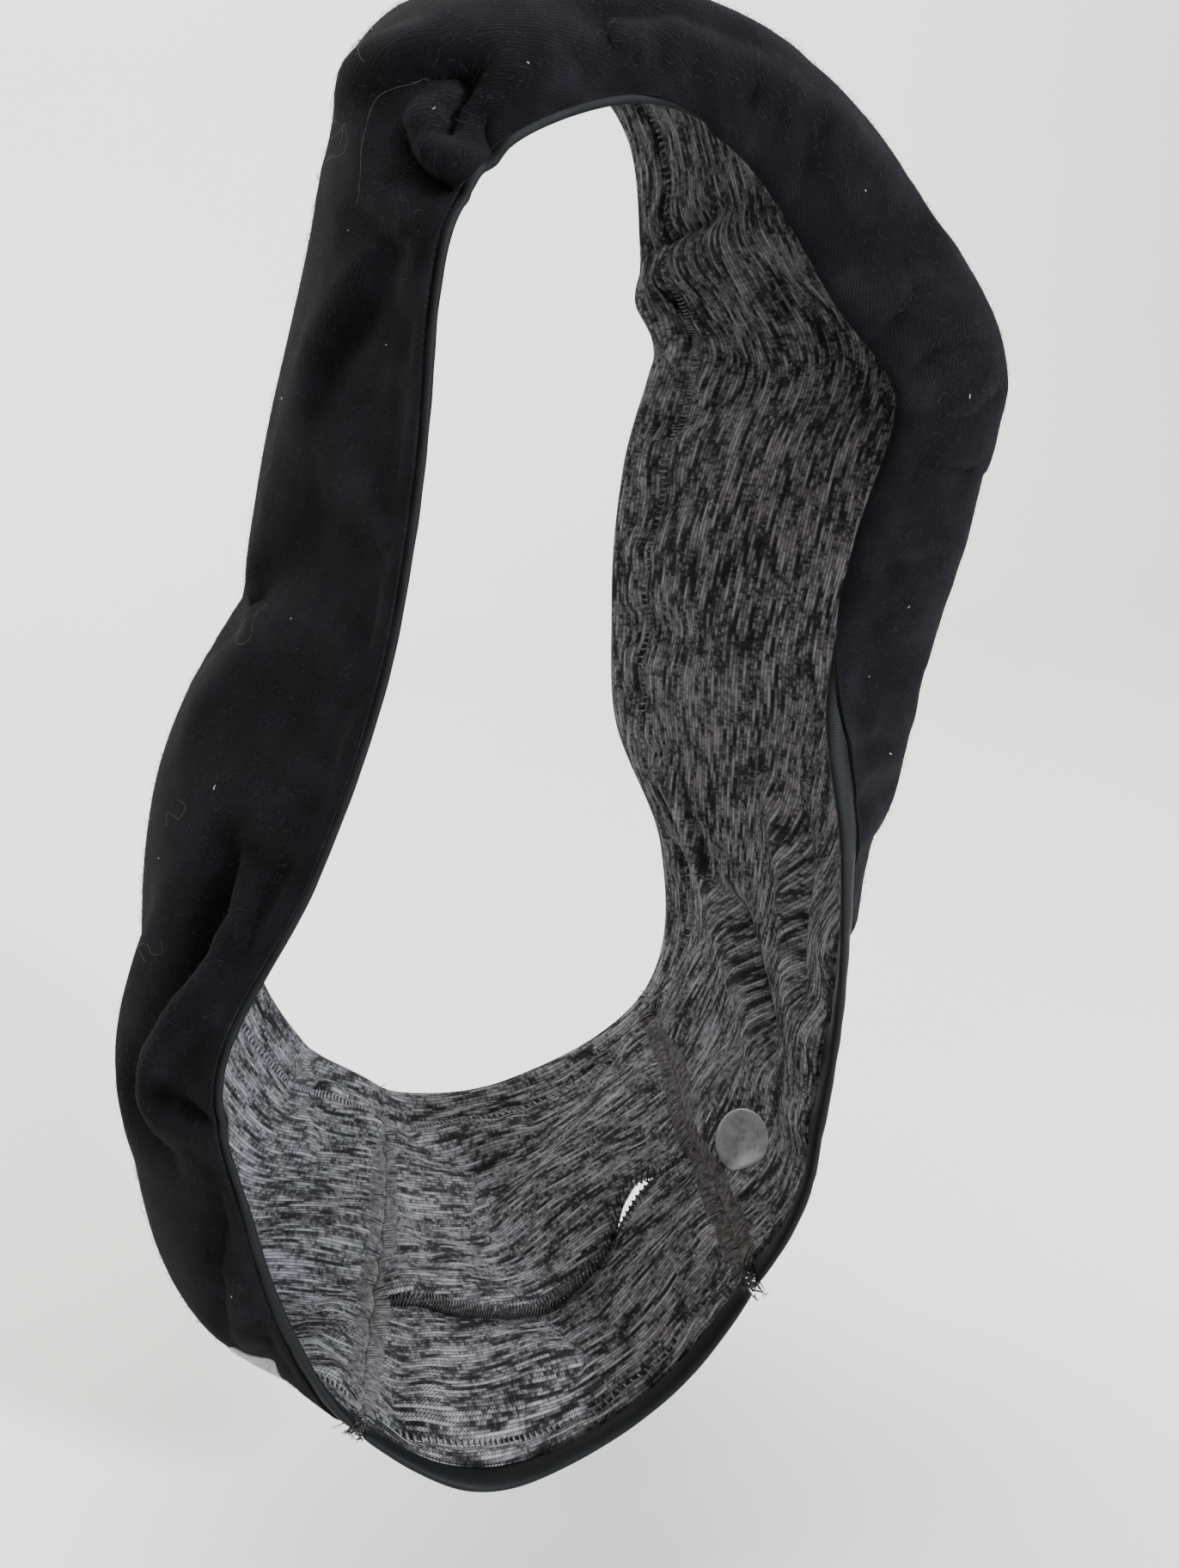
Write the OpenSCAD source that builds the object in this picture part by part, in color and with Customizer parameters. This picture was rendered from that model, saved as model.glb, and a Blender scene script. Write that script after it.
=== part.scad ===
// Sports headband hanging as a loose loop from the point where it is held.
// Units are millimetres. +Z is up, +Y runs across the band from its near edge
// to its far edge, and the origin is the hold point on top of the band.
//
// Every soft piece is a slab on one curved surface with three coordinates:
//   u  station number round the loop, clockwise seen from the near side
//   v  millimetres across the fabric, from the near edge to the far edge
//   w  millimetres outwards from the middle of the fabric sandwich

/* [Band] */
// Width of the finished band, edge trims included
band_w = 90; // [84:1:94]
// Thickness of the brushed outer knit
outer_t = 1.2; // [0.8:0.1:1.4]
// Thickness of the heather lining knit
lining_t = 1.0; // [0.8:0.1:1.2]
// Half of the gap between the two layers, where the trim's flange is sewn in
layer_gap = 0.35; // [0.3:0.05:0.45]

/* [Edge trim] */
// Width of the elastic trim that shows beyond the fabric
trim_w = 4.4; // [3.5:0.1:5]
// Thickness of the trim at its bead
trim_t = 1.6; // [1.2:0.1:2]
// How far the trim's flange runs in between the two fabric layers
flange_w = 3.6; // [2:0.1:5]
// Distance between the trim and the topstitching on the lining side
topstitch_inset = 3.8; // [2.5:0.1:5]
// Width of the row of topstitching
topstitch_w = 0.9; // [0.6:0.1:1.2]

/* [Ponytail slot] */
// Distance from the near edge to the middle of the slot
slot_v = 39; // [36:1:44]
// Width of the slot where it hangs open
slot_open = 8; // [6:0.5:9]
// Width of the slot where its lips nearly touch
slot_shut = 0.8; // [0.6:0.1:1.5]
// Width of the overlock stitching along each lip
overlock_w = 1.4; // [1:0.1:2]

/* [Seams] */
// Width of the cover stitching over each seam on the lining side
cover_stitch_w = 5; // [4:0.5:6]
// Width of one row of needle thread on the outer side
needle_row_w = 0.8; // [0.6:0.1:1.2]
// Thickness of the stitching that stands on the fabric
thread_t = 0.35; // [0.2:0.05:0.5]

/* [Marks] */
// Diameter of the two plain transfer discs
mark_d = 12; // [8:1:14]
// Thickness of a transfer disc
mark_t = 0.25; // [0.2:0.05:0.4]

/* [Mesh] */
// Rings of facets between two stations of the loop
rings_per_station = 3; // [2:1:4]

/* [Hidden] */

// The hanging loop. Each row is one station: x, y, z of the near edge, the
// direction in XZ that the outside of the band faces (90 up, 0 right, -90
// down), and the lean of the fabric at 0, 1/4, 1/2, 3/4 and all of its width
// (0 runs straight back along +Y, positive leans outwards).
LOOP = [
    [  6, -38,  -14,   90,  75,   2,  12,  -5, -20],   // top, held here
    [ 18, -39,  -18,   68,  80,   8,   8,  -8, -22],
    [ 27, -39,  -27,   50,  90,  15,   0, -15, -20],
    [ 37, -38,  -41,   32, 100,  18, -20, -32, -22],
    [ 46, -37,  -51,   18, 105,  20, -32, -42, -32],
    [ 48, -36,  -59,    5, 105,  20, -36, -46, -36],   // right shoulder
    [ 41, -39,  -76,   -3, 102,  22, -34, -46, -30],
    [ 35, -43,  -99,   -2,  88,  20, -26, -38, -24],
    [ 38, -45, -124,    0,  50,  14, -18, -32, -18],
    [ 38, -46, -155,   -8,  14,  10,   0,  -5,  -3],
    [ 32, -46, -185,  -28,   8,   8,   4,   2,   0],   // right seam just past here
    [ 15, -46, -212,  -52,  -3,  -5,  -8,  -8,  -8],
    [ -6, -46, -225,  -75, -10, -13, -16, -18, -18],   // bottom
    [-24, -46, -226,  -97, -15, -18, -18, -20, -20],
    [-42, -45, -210, -122,   5,  -5, -16, -26, -28],   // left seam at the near edge
    [-50, -44, -192, -140,  45,  15, -20, -42, -50],
    [-55, -44, -172, -158,  42,  15, -15, -35, -42],
    [-58, -43, -146, -180,  22,   5, -10, -25, -32],   // left swell
    [-43, -43, -118, -195,  35,  20,  -6, -26, -20],
    [-32, -43,  -90, -192,  24,  18,  -6, -14,   8],
    [-26, -43,  -62, -186,  20,  16,  -6, -14,  10],
    [-23, -43,  -37, -183,  14,  10,  -8, -20,   8],
    [-19, -42,  -26, -208,  35,   8, -10, -20, -20],
    [-10, -40,  -18, -243,  65,  15,  -4, -10, -20]
];
stations = len(LOOP);

// Stations of the two seams, at the near edge and at the far edge
right_seam = [10.45, 10.0];
left_seam = [13.95, 12.9];
// Clearance between neighbouring pieces of cloth, in mm
clear = 0.2;
// Height of the stitching's underside above cloth that is faceted
thread_lift = 0.3;
// Steps used to add up the fabric's lean across its width
lean_steps = 18;

outer_lo = layer_gap;
outer_hi = layer_gap + outer_t;
lining_hi = -layer_gap;
lining_lo = -layer_gap - lining_t;
fabric_v0 = trim_w + clear;
fabric_v1 = band_w - trim_w - clear;
flange_t = 2 * (layer_gap - 0.1);

black_knit = [0.15, 0.14, 0.17];
heather_knit = [0.60, 0.60, 0.64];
trim_green = [0.20, 0.23, 0.22];
seam_thread = [0.42, 0.40, 0.38];
dark_thread = [0.08, 0.08, 0.09];
mark_silver = [0.70, 0.71, 0.74];

// ---------- the surface ----------

function catmull(a, b, c, d, f) =
    0.5 * (2 * b + (c - a) * f + (2 * a - 5 * b + 4 * c - d) * f * f
        + (3 * b - a - 3 * c + d) * f * f * f);

// A station's row, with the facing direction counted against one even turn
function even_row(i) =
    let (k = (i % stations + stations) % stations, r = LOOP[k])
    [for (c = [0 : 8]) c == 3 ? r[3] + 360 * k / stations : r[c]];

function row_at(u) =
    let (
        i = floor(u),
        r = catmull(even_row(i - 1), even_row(i), even_row(i + 1), even_row(i + 2), u - i)
    )
    [for (c = [0 : 8]) c == 3 ? r[3] - 360 * u / stations : r[c]];

// Lean of the fabric at q, from 0 at the near edge to 4 at the far edge
function lean(row, q) =
    let (i = min(3, floor(q)), at = function (k) row[4 + max(0, min(4, k))])
    catmull(at(i - 1), at(i), at(i + 1), at(i + 2), q - i);

// [distance back, distance out] of the fabric at v, added up in equal steps
function across(row, v, k = 0, back = 0, out = 0) =
    k == lean_steps ? [back, out]
    : let (a = lean(row, 4 * v / band_w * (k + 0.5) / lean_steps), d = v / lean_steps)
      across(row, v, k + 1, back + d * cos(a), out + d * sin(a));

// Point of the surface and its outward direction: [point, normal]
function site(u, v) =
    let (
        r = row_at(u),
        facing = [cos(r[3]), 0, sin(r[3])],
        p = across(r, v),
        a = lean(r, 4 * v / band_w)
    )
    [
        [r[0], r[1] + p[0], r[2]] + p[1] * facing,
        cos(a) * facing - [0, sin(a), 0]
    ];

// ---------- slabs on the surface ----------

// Line across the band, d millimetres clockwise of a seam: a function that
// gives the station at v. turn adds whole turns of the loop.
function beside(seam, d, turn = 0) = function (v)
    let (
        u = seam[0] + (seam[1] - seam[0]) * v / band_w,
        mm_per_station = norm(site(u + 0.05, v)[0] - site(u - 0.05, v)[0]) / 0.1
    )
    u + turn + d / mm_per_station;

function quad(a, b, c, d) = [[a, b, c], [a, c, d]];

// Closed slab from one line across the band to another. section(f) gives
// the columns [v, w inside, w outside] at the fraction f of the way along.
module slab(from, to, rings, section) {
    rows = [for (i = [0 : rings]) section(i / rings)];
    n = len(rows[0]);
    points = [
        for (i = [0 : rings]) for (col = rows[i])
            let (
                v = col[0],
                s = site(from(v) + (to(v) - from(v)) * i / rings, v)
            )
            each [s[0] + col[1] * s[1], s[0] + col[2] * s[1]]
    ];
    id = function (i, j, k) (i * n + j) * 2 + k;
    faces = [
        for (i = [0 : rings - 1]) each [
            for (j = [0 : n - 2]) each concat(
                quad(id(i, j, 1), id(i, j + 1, 1), id(i + 1, j + 1, 1), id(i + 1, j, 1)),
                quad(id(i, j, 0), id(i + 1, j, 0), id(i + 1, j + 1, 0), id(i, j + 1, 0))
            ),
            each quad(id(i, 0, 0), id(i, 0, 1), id(i + 1, 0, 1), id(i + 1, 0, 0)),
            each quad(id(i, n - 1, 0), id(i + 1, n - 1, 0), id(i + 1, n - 1, 1), id(i, n - 1, 1))
        ],
        for (j = [0 : n - 2]) each concat(
            quad(id(0, j, 0), id(0, j + 1, 0), id(0, j + 1, 1), id(0, j, 1)),
            quad(id(rings, j, 0), id(rings, j, 1), id(rings, j + 1, 1), id(rings, j + 1, 0))
        )
    ];
    polyhedron(points = points, faces = faces, convexity = 8);
}

// The front runs from the left seam over the top to the right seam, and the
// back runs underneath from the right seam to the left seam. Both stop inset
// millimetres short of the seam lines.
front_rings = round(rings_per_station * 20);
back_rings = round(rings_per_station * 4);
module front_slab(inset, section)
    slab(beside(left_seam, inset), beside(right_seam, -inset, stations), front_rings, section);
module back_slab(inset, section)
    slab(beside(right_seam, inset), beside(left_seam, -inset), back_rings, section);

// Columns of a cloth layer between two distances across the band
function layer(v0, v1, w0, w1, columns) =
    [for (j = [0 : columns - 1]) [v0 + (v1 - v0) * j / (columns - 1), w0, w1]];

// ---------- front panel ----------

module front_shell()
    color(black_knit)
        front_slab(clear, function (f) layer(fabric_v0, fabric_v1, outer_lo, outer_hi, 11));

module front_lining()
    color(heather_knit)
        front_slab(clear, function (f) layer(fabric_v0, fabric_v1, lining_lo, lining_hi, 11));

// ---------- back strips, with the slot between them ----------

// The slot is narrow at both ends and hangs open nearer its right end
function slot_half(f) = slot_shut / 2 + (slot_open - slot_shut) / 2 * pow(sin(180 * pow(f, 0.55)), 2);
function lower_lip(f) = slot_v - slot_half(f) - overlock_w - clear;
function upper_lip(f) = slot_v + slot_half(f) + overlock_w + clear;

module back_strip_layer(v0, v1, w0, w1)
    color(heather_knit)
        back_slab(clear, function (f) layer(v0(f), v1(f), w0, w1, 6));

module back_upper_strip_outer()
    back_strip_layer(function (f) upper_lip(f), function (f) fabric_v1, outer_lo, outer_hi);

module back_upper_strip_inner()
    back_strip_layer(function (f) upper_lip(f), function (f) fabric_v1, lining_lo, lining_hi);

module back_lower_strip_outer()
    back_strip_layer(function (f) fabric_v0, function (f) lower_lip(f), outer_lo, outer_hi);

module back_lower_strip_inner()
    back_strip_layer(function (f) fabric_v0, function (f) lower_lip(f), lining_lo, lining_hi);

// Overlocked lip: a rounded bead as thick as both layers
module slot_overlock(v0)
    color(dark_thread)
        back_slab(clear, function (f) [
            [v0(f), lining_lo, outer_hi],
            [v0(f) + overlock_w / 2, lining_lo - thread_t, outer_hi + thread_t],
            [v0(f) + overlock_w, lining_lo + thread_t, outer_hi - thread_t]
        ]);

module upper_slot_overlock()
    slot_overlock(function (f) upper_lip(f) - clear - overlock_w);

module lower_slot_overlock()
    slot_overlock(function (f) lower_lip(f) + clear);

// ---------- edge trims ----------

// Bead that shows beyond the fabric, then the flange sewn between the layers.
// side is 1 for the near edge and -1 for the far edge.
function trim_columns(side) =
    let (
        edge = [
            [0, trim_t * 0.3],
            [trim_w * 0.25, trim_t / 2],
            [trim_w * 0.8, trim_t / 2],
            [trim_w, trim_t * 0.35],
            [trim_w + 0.1, flange_t / 2],
            [trim_w + flange_w, flange_t / 2]
        ],
        n = len(edge)
    )
    [
        for (j = [0 : n - 1])
            let (c = edge[side > 0 ? j : n - 1 - j])
            [side > 0 ? c[0] : band_w - c[0], -c[1], c[1]]
    ];

// The trims stop short of the seams, where their cut ends fray
trim_stop = 1.4;

module near_trim_front()
    color(trim_green) front_slab(trim_stop, function (f) trim_columns(1));

module near_trim_back()
    color(trim_green) back_slab(trim_stop, function (f) trim_columns(1));

module far_trim_front()
    color(trim_green) front_slab(trim_stop, function (f) trim_columns(-1));

module far_trim_back()
    color(trim_green) back_slab(trim_stop, function (f) trim_columns(-1));

// Tuft of cut threads in each gap between a front trim and a back trim
module tuft(seam, v0, v1)
    slab(beside(seam, clear - trim_stop), beside(seam, trim_stop - clear), 2,
        function (f) [[v0, -0.4, 0.4], [(v0 + v1) / 2, -trim_t / 2, trim_t / 2], [v1, -0.6, 0.6]]);

module frayed_seam_ends()
    color(seam_thread)
        for (seam = [right_seam, left_seam]) {
            tuft(seam, 0.2, trim_w);
            tuft(seam, band_w - trim_w, band_w - 0.2);
        }

// ---------- stitching ----------

// A raised row of stitches on the lining side, at v, round the whole band
module edge_topstitch(v)
    color(seam_thread) {
        columns = layer(v - topstitch_w / 2, v + topstitch_w / 2,
            lining_lo - thread_lift - thread_t, lining_lo - thread_lift, 2);
        front_slab(cover_stitch_w / 2 + clear, function (f) columns);
        back_slab(cover_stitch_w / 2 + clear, function (f) columns);
    }

module near_edge_topstitch() edge_topstitch(trim_w + topstitch_inset);
module far_edge_topstitch() edge_topstitch(band_w - trim_w - topstitch_inset);

// Looper threads that cover the seam on the lining side. They break at the
// slot, because each strip is stitched to the front panel on its own.
module seam_band(seam, d0, d1, v0, v1, w0, w1)
    slab(beside(seam, d0), beside(seam, d1), 2, function (f) layer(v0, v1, w0, w1, 6));

module seam_row(seam, d0, d1, w0, w1) {
    seam_band(seam, d0, d1, fabric_v0, slot_v - slot_shut / 2 - overlock_w, w0, w1);
    seam_band(seam, d0, d1, slot_v + slot_shut / 2 + overlock_w, fabric_v1, w0, w1);
}

module seam_coverstitch(seam)
    color(seam_thread)
        seam_row(seam, -cover_stitch_w / 2, cover_stitch_w / 2,
            lining_lo - thread_lift - thread_t, lining_lo - thread_lift);

module right_seam_coverstitch() seam_coverstitch(right_seam);
module left_seam_coverstitch() seam_coverstitch(left_seam);

// Two rows of needle thread on the outer side of each seam
module seam_needle_rows(seam)
    color(dark_thread)
        for (d = [-cover_stitch_w / 2, cover_stitch_w / 2 - needle_row_w])
            seam_row(seam, d, d + needle_row_w,
                outer_hi + thread_lift, outer_hi + thread_lift + thread_t);

module right_seam_needle_rows() seam_needle_rows(right_seam);
module left_seam_needle_rows() seam_needle_rows(left_seam);

// ---------- transfer discs ----------

// A disc lying on the fabric at u, v, with its underside w from the middle
module mark_disc(u, v, w)
    color(mark_silver) {
        s = site(u, v);
        n = s[1];
        translate(s[0] + w * n)
            rotate([0, acos(n[2]), atan2(n[1], n[0])])
                cylinder(d = mark_d, h = mark_t, $fn = 64);
    }

// Stations and distances across the band of the discs
lining_mark_at = [10.02, 27];
shell_mark_at = [14.65, 17];
// Room under a flat disc for the curve of the cloth
mark_lift = 0.6;

module lining_mark_disc()
    mark_disc(lining_mark_at[0], lining_mark_at[1], lining_lo - mark_lift - mark_t);

module shell_mark_disc()
    mark_disc(shell_mark_at[0], shell_mark_at[1], outer_hi + mark_lift);

front_shell();
front_lining();
back_upper_strip_outer();
back_upper_strip_inner();
back_lower_strip_outer();
back_lower_strip_inner();
near_trim_front();
near_trim_back();
far_trim_front();
far_trim_back();
near_edge_topstitch();
far_edge_topstitch();
right_seam_coverstitch();
left_seam_coverstitch();
right_seam_needle_rows();
left_seam_needle_rows();
upper_slot_overlock();
lower_slot_overlock();
lining_mark_disc();
shell_mark_disc();
frayed_seam_ends();
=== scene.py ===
"""Sports headband: cloth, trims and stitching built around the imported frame.

Lengths are in millimetres until a mesh is made; Blender objects are in metres.
A place on the band is given as u, a station number round the loop (clockwise
from the hold point, seen from the near side), v, millimetres across the band
from its near edge, and w, millimetres outwards from the middle of the cloth.
"""

import math

import bpy
import numpy as np
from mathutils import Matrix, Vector


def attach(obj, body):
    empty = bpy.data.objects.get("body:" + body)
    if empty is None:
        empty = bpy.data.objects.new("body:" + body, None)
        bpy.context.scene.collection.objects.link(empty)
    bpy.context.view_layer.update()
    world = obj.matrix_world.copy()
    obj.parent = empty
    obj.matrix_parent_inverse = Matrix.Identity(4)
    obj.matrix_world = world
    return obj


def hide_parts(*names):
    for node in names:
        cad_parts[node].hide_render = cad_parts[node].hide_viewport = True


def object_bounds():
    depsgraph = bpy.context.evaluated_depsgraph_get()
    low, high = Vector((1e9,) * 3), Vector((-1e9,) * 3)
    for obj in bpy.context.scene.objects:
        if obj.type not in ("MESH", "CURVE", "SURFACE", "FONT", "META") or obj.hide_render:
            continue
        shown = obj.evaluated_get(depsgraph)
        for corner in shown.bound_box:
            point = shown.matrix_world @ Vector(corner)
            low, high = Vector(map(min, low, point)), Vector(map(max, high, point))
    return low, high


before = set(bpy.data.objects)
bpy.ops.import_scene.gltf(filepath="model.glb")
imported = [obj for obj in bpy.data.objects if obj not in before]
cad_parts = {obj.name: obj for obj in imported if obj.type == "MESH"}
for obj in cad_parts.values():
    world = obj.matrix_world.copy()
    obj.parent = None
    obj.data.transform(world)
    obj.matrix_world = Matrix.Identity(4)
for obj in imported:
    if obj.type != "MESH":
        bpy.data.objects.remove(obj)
CAD_BOX = [list(corner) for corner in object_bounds()]

MM = 0.001
BODY = "root"

# ---------- camera

CAMERA_TARGET = Vector((10, -5, -122)) * MM
CAMERA_AZIMUTH = math.radians(-18)
CAMERA_ELEVATION = math.radians(20)
CAMERA_DISTANCE = 322 * MM
LENS = 44
SENSOR_HEIGHT = 36


def add_camera():
    back = Vector((
        math.sin(CAMERA_AZIMUTH) * math.cos(CAMERA_ELEVATION),
        -math.cos(CAMERA_AZIMUTH) * math.cos(CAMERA_ELEVATION),
        math.sin(CAMERA_ELEVATION),
    ))
    camera = bpy.data.objects.new("camera", bpy.data.cameras.new("camera"))
    camera.data.sensor_fit = "VERTICAL"
    camera.data.sensor_height = SENSOR_HEIGHT
    camera.data.lens = LENS
    camera.data.clip_start = 0.01
    camera.location = CAMERA_TARGET + back * CAMERA_DISTANCE
    camera.rotation_euler = (-back).to_track_quat("-Z", "Y").to_euler()
    bpy.context.scene.collection.objects.link(camera)
    bpy.context.scene.camera = camera


add_camera()

# ---------- dimensions, as in the CAD model

BAND_W = 90
TRIM_W = 4.4
SLOT_V = 39
SEAM_W = 5
TRIM_STOP = 1.4
STITCH_INSET = 3.8
MARK_D = 12
CLEAR = 0.2
FABRIC_V0 = TRIM_W + CLEAR
FABRIC_V1 = BAND_W - TRIM_W - CLEAR
RIGHT_SEAM = (10.45, 10.0)
LEFT_SEAM = (13.95, 12.9)
LINING_MARK_AT = (10.02, 27)
SHELL_MARK_AT = (14.65, 17)

# x, y, z of the near edge; the way the outside faces in XZ, in degrees; the
# lean of the cloth at 0, 1/4, 1/2, 3/4 and all of its width
LOOP = np.array([
    (6, -38, -14, 90, 75, 2, 12, -5, -20),
    (18, -39, -18, 68, 80, 8, 8, -8, -22),
    (27, -39, -27, 50, 90, 15, 0, -15, -20),
    (37, -38, -41, 32, 100, 18, -20, -32, -22),
    (46, -37, -51, 18, 105, 20, -32, -42, -32),
    (48, -36, -59, 5, 105, 20, -36, -46, -36),
    (41, -39, -76, -3, 102, 22, -34, -46, -30),
    (35, -43, -99, -2, 88, 20, -26, -38, -24),
    (38, -45, -124, 0, 50, 14, -18, -32, -18),
    (38, -46, -155, -8, 14, 10, 0, -5, -3),
    (32, -46, -185, -28, 8, 8, 4, 2, 0),
    (15, -46, -212, -52, -3, -5, -8, -8, -8),
    (-6, -46, -225, -75, -10, -13, -16, -18, -18),
    (-24, -46, -226, -97, -15, -18, -18, -20, -20),
    (-42, -45, -210, -122, 5, -5, -16, -26, -28),
    (-50, -44, -192, -140, 45, 15, -20, -42, -50),
    (-55, -44, -172, -158, 42, 15, -15, -35, -42),
    (-58, -43, -146, -180, 22, 5, -10, -25, -32),
    (-43, -43, -118, -195, 35, 20, -6, -26, -20),
    (-32, -43, -90, -192, 24, 18, -6, -14, 8),
    (-26, -43, -62, -186, 20, 16, -6, -14, 10),
    (-23, -43, -37, -183, 14, 10, -8, -20, 8),
    (-19, -42, -26, -208, 35, 8, -10, -20, -20),
    (-10, -40, -18, -243, 65, 15, -4, -10, -20),
], float)
STATIONS = len(LOOP)

# ---------- the cloth's surface


def catmull(a, b, c, d, f):
    return 0.5 * (2 * b + (c - a) * f + (2 * a - 5 * b + 4 * c - d) * f * f
                  + (3 * b - a - 3 * c + d) * f ** 3)


def spline(keys, t):
    """Smooth value at t through (place, value) keys; flat past the ends."""
    place, value = np.array(keys, float).T
    t = np.clip(t, place[0], place[-1])
    i = np.clip(np.searchsorted(place, t, side="right") - 1, 0, len(place) - 2)
    slope = np.gradient(value, place)
    step = place[i + 1] - place[i]
    f = (t - place[i]) / step
    return (value[i] * (1 + 2 * f) * (1 - f) ** 2 + slope[i] * step * f * (1 - f) ** 2
            + value[i + 1] * f * f * (3 - 2 * f) + slope[i + 1] * step * f * f * (f - 1))


def unit(a):
    return a / np.maximum(np.linalg.norm(a, axis=-1, keepdims=True), 1e-9)


def smoothstep(x, low, high):
    t = np.clip((x - low) / (high - low), 0, 1)
    return t * t * (3 - 2 * t)


def sample(grid, u, v):
    """Smooth value at u, v of a grid that spans the whole band and is closed in u."""
    rows, columns = grid.shape[:2]
    x = np.asarray(u, float) / STATIONS * rows
    y = np.clip(np.asarray(v, float) / BAND_W, 0, 1) * (columns - 1)
    i, j = np.floor(x).astype(int), np.minimum(np.floor(y).astype(int), columns - 2)
    f, g = (x - i)[..., None], (y - j)[..., None]
    lines = [
        catmull(*[grid[(i + k) % rows, np.clip(j + m, 0, columns - 1)] for k in (-1, 0, 1, 2)], f)
        for m in (-1, 0, 1, 2)
    ]
    return catmull(*lines, g)


def even_grid(rows, columns):
    """u and v of a grid that spans the whole band."""
    u = (np.arange(rows) * STATIONS / rows)[:, None]
    v = (np.arange(columns) * BAND_W / (columns - 1))[None, :]
    return u, v


def seam_station(seam, v):
    return seam[0] + (seam[1] - seam[0]) * v / BAND_W


class Sheet:
    """Middle surface of the band, a grid of points that can be sampled anywhere."""

    def __init__(self, points):
        self.points = points
        self.update()

    def update(self):
        p = self.points
        along = np.roll(p, -1, 0) - np.roll(p, 1, 0)
        self.normals = unit(np.cross(along, np.gradient(p, axis=1)))

    def at(self, u, v, w=0.0):
        """Points at u, v and w; past an edge, v carries on straight."""
        u, v = np.broadcast_arrays(np.asarray(u, float), np.asarray(v, float))
        p = sample(self.points, u, v)
        over = v - np.clip(v, 0, BAND_W)
        if np.any(over):
            half = 0.5
            inner = np.clip(v, half, BAND_W - half)
            step = sample(self.points, u, inner + half) - sample(self.points, u, inner - half)
            p = p + over[..., None] * unit(step)
        return p + np.asarray(w, float)[..., None] * self.normal(u, v)

    def normal(self, u, v):
        return unit(sample(self.normals, u, v))

    def mm_per_station(self, u, v):
        return np.linalg.norm(self.at(u + 0.05, v) - self.at(u - 0.05, v), axis=-1) / 0.1


def loop_surface(rows=960, columns=181):
    """The same surface as the CAD model's, at about half a millimetre."""
    even = LOOP.copy()
    even[:, 3] += 360 * np.arange(STATIONS) / STATIONS
    u = np.arange(rows) * STATIONS / rows
    i = np.floor(u).astype(int)
    row = catmull(*[even[(i + k) % STATIONS] for k in (-1, 0, 1, 2)], (u - i)[:, None])
    facing = np.radians(row[:, 3] - 360 * u / STATIONS)
    fine = 4  # steps that the lean is added up in, for each column
    steps = (columns - 1) * fine
    q = (np.arange(steps) + 0.5) / steps * 4
    j = np.minimum(np.floor(q).astype(int), 3)
    leans = row[:, 4:]
    lean = np.radians(catmull(*[leans[:, np.clip(j + k, 0, 4)] for k in (-1, 0, 1, 2)], q - j))
    pad = np.zeros((rows, 1))
    back = np.hstack([pad, np.cumsum(np.cos(lean), 1)])[:, ::fine] * BAND_W / steps
    out = np.hstack([pad, np.cumsum(np.sin(lean), 1)])[:, ::fine] * BAND_W / steps
    way = np.stack([np.cos(facing), np.zeros(rows), np.sin(facing)], 1)
    return Sheet(row[:, None, :3] + back[..., None] * [0, 1, 0] + out[..., None] * way[:, None])


# ---------- meshes


def signed_volume(points, faces):
    total = 0.0
    for group in faces:
        for k in range(1, group.shape[1] - 1):
            a, b, c = points[group[:, 0]], points[group[:, k]], points[group[:, k + 1]]
            total += np.einsum("ij,ij->i", a, np.cross(b, c)).sum()
    return total


def new_mesh(name, points, faces, uv=None, closed=False):
    """A mesh from points in mm and arrays of faces, each array with one number of
    corners. A closed mesh is turned so that it faces outwards."""
    points = np.asarray(points, float)
    faces = [np.asarray(group, np.int32) for group in faces]
    if closed and signed_volume(points - points.mean(0), faces) < 0:
        faces = [group[:, ::-1] for group in faces]
    mesh = bpy.data.meshes.new(name)
    mesh.vertices.add(len(points))
    mesh.vertices.foreach_set("co", (points * MM).ravel())
    corners = np.concatenate([group.ravel() for group in faces])
    sizes = np.concatenate([np.full(len(group), group.shape[1]) for group in faces])
    mesh.loops.add(len(corners))
    mesh.loops.foreach_set("vertex_index", corners)
    mesh.polygons.add(len(sizes))
    mesh.polygons.foreach_set("loop_start", np.concatenate([[0], np.cumsum(sizes)[:-1]]))
    mesh.polygons.foreach_set("loop_total", sizes)
    mesh.polygons.foreach_set("use_smooth", np.ones(len(sizes), bool))
    if uv is not None:
        layer = mesh.uv_layers.new(name="cloth_mm")
        layer.data.foreach_set("uv", np.asarray(uv, np.float32)[corners].ravel())
    mesh.update(calc_edges=True)
    mesh.validate()
    obj = bpy.data.objects.new(name, mesh)
    bpy.context.scene.collection.objects.link(obj)
    return obj


def grid_faces(rows, columns, closed=False):
    i, j = np.meshgrid(np.arange(rows if closed else rows - 1), np.arange(columns - 1), indexing="ij")
    a = (i * columns + j).ravel()
    b = (((i + 1) % rows) * columns + j).ravel()
    return np.stack([a, b, b + 1, a + 1], 1)


def slab_mesh(name, outer, inner, uv):
    """Closed cloth: two grids of the same size, joined round their rim."""
    rows, columns = outer.shape[:2]
    count = rows * columns
    rim = np.concatenate([
        np.arange(columns), np.arange(1, rows) * columns + columns - 1,
        (rows - 1) * columns + np.arange(columns - 2, -1, -1), np.arange(rows - 2, 0, -1) * columns,
    ])
    after = np.roll(rim, -1)
    faces = [
        grid_faces(rows, columns)[:, ::-1],
        grid_faces(rows, columns) + count,
        np.stack([rim, rim + count, after + count, after], 1)[:, ::-1],
    ]
    points = np.concatenate([outer.reshape(-1, 3), inner.reshape(-1, 3)])
    return new_mesh(name, points, faces, np.concatenate([uv.reshape(-1, 2)] * 2), closed=True)


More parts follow.
